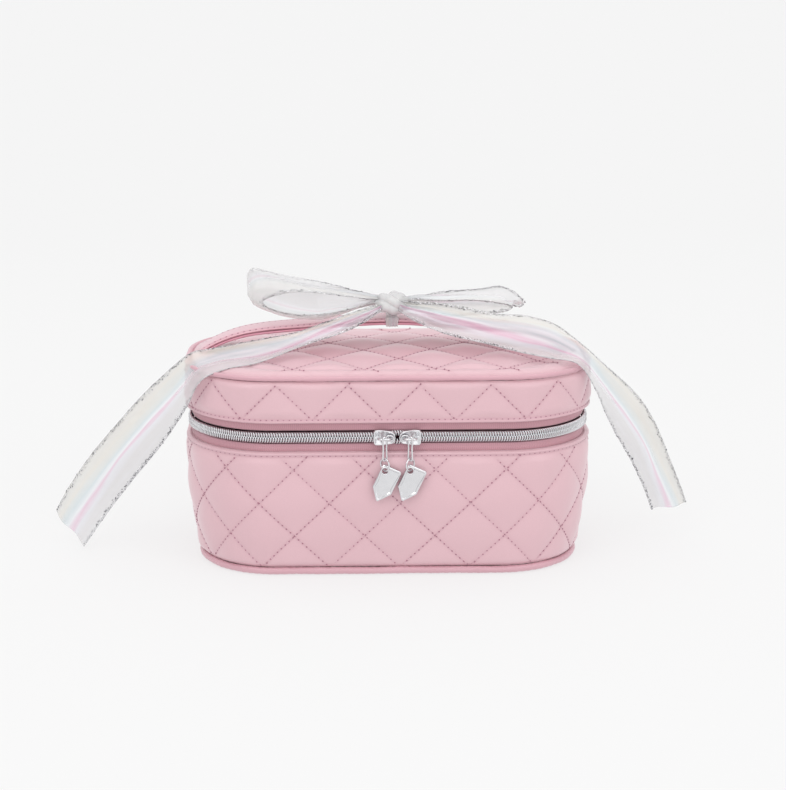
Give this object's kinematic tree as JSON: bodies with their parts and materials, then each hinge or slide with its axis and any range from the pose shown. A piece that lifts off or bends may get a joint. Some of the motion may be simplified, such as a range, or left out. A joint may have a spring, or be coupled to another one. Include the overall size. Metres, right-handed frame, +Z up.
{
  "type": "makeup bag",
  "caption": "Quilted train-case makeup bag with a hinged zip-round lid, strap handle over the top, ribbon bow with long tails, and sliders with hanging tags.",
  "frame": {"origin": "middle of the underside, on the surface the bag stands on", "axes": "+Z up, -Y out of the front face, +X along the bag's length to the right as seen from the front"},
  "size_m": [0.3639, 0.1292, 0.1561],
  "materials": {
    "quilted_pink": "satin pearl synthetic leather, quilted",
    "piping_pink": "satin synthetic leather roll",
    "zip_tape_pink": "woven tape",
    "zip_teeth_silver": "metallised coil",
    "silver_metal": "polished plating",
    "pearl_ribbon": "sheer iridescent ribbon with glitter edges",
    "lining_pink": "plain woven lining",
    "foam_white": "wadding",
    "stiffener_board": "plain board"
  },
  "bodies": {
    "base": {"base_wall": "quilted_pink", "base_foam": "foam_white", "base_lining": "lining_pink", "bottom_panel": "quilted_pink", "bottom_board": "stiffener_board", "bottom_piping": "piping_pink", "base_zip_tape": "zip_tape_pink", "base_zip_teeth": "zip_teeth_silver", "rear_hinge_strip": "quilted_pink"},
    "lid": {"lid_wall": "quilted_pink", "lid_wall_foam": "foam_white", "lid_top_panel": "quilted_pink", "lid_board": "stiffener_board", "lid_lining": "lining_pink", "top_piping": "piping_pink", "lid_zip_tape": "zip_tape_pink", "lid_zip_teeth": "zip_teeth_silver", "handle_strap": "quilted_pink", "handle_backing": "piping_pink", "bow_knot": "pearl_ribbon", "bow_loop_left": "pearl_ribbon", "bow_loop_right": "pearl_ribbon", "bow_tail_left": "pearl_ribbon", "bow_tail_right": "pearl_ribbon"},
    "tail_left": {"tail_fall_left": "pearl_ribbon"},
    "slider_left": {"zip_slider_left": "silver_metal"},
    "link_left": {"pull_link_left": "silver_metal"},
    "ring_left": {"jump_ring_left": "silver_metal"},
    "tag_left": {"zip_tag_left": "silver_metal"},
    "tail_right": {"tail_fall_right": "pearl_ribbon"},
    "slider_right": {"zip_slider_right": "silver_metal"},
    "link_right": {"pull_link_right": "silver_metal"},
    "ring_right": {"jump_ring_right": "silver_metal"},
    "tag_right": {"zip_tag_right": "silver_metal"}
  },
  "joints": [
    {"name": "lid_hinge", "type": "hinge", "parent": "base", "child": "lid", "pos_m": [0, 0.061, 0.07775], "axis": [-1, 0, 0], "range_deg": [0, 105], "deforming": ["rear_hinge_strip"]},
    {"name": "tail_left_hang", "type": "hinge", "parent": "lid", "child": "tail_left", "pos_m": [-0.1118, -0.03293, 0.09807], "axis": [-1, 0, 0], "range_deg": [-105, 0]},
    {"name": "slider_left_run", "type": "slide", "parent": "base", "child": "slider_left", "axis": [-1, 0, 0], "range_m": [0, 0.049]},
    {"name": "pull_left_swing", "type": "hinge", "parent": "slider_left", "child": "link_left", "pos_m": [-0.00295, -0.0644, 0.07775], "axis": [-1, 0, 0], "range_deg": [0, 90]},
    {"name": "ring_left_sway", "type": "hinge", "parent": "link_left", "child": "ring_left", "pos_m": [-0.00295, -0.0644, 0.0663], "axis": [0, 1, 0], "range_deg": [0, 20]},
    {"name": "tag_left_slide", "type": "hinge", "parent": "ring_left", "child": "tag_left", "pos_m": [-0.00295, -0.0644, 0.0642], "axis": [-0.766, 0.6428, 0], "range_deg": [0, 50]},
    {"name": "tail_right_hang", "type": "hinge", "parent": "lid", "child": "tail_right", "pos_m": [0.1118, -0.02877, 0.10132], "axis": [-1, 0, 0], "range_deg": [-105, 0]},
    {"name": "slider_right_run", "type": "slide", "parent": "base", "child": "slider_right", "axis": [1, 0, 0], "range_m": [0, 0.041]},
    {"name": "pull_right_swing", "type": "hinge", "parent": "slider_right", "child": "link_right", "pos_m": [0.01035, -0.0644, 0.07775], "axis": [-1, 0, 0], "range_deg": [0, 90]},
    {"name": "ring_right_sway", "type": "hinge", "parent": "link_right", "child": "ring_right", "pos_m": [0.01035, -0.0644, 0.0663], "axis": [0, -1, 0], "range_deg": [0, 20]},
    {"name": "tag_right_slide", "type": "hinge", "parent": "ring_right", "child": "tag_right", "pos_m": [0.01035, -0.0644, 0.0642], "axis": [-0.766, -0.6428, 0], "range_deg": [0, 50]}
  ],
  "couplings": [
    {"joint": "tail_left_hang", "follows": "lid_hinge", "ratio": -1},
    {"joint": "tail_right_hang", "follows": "lid_hinge", "ratio": -1}
  ]
}
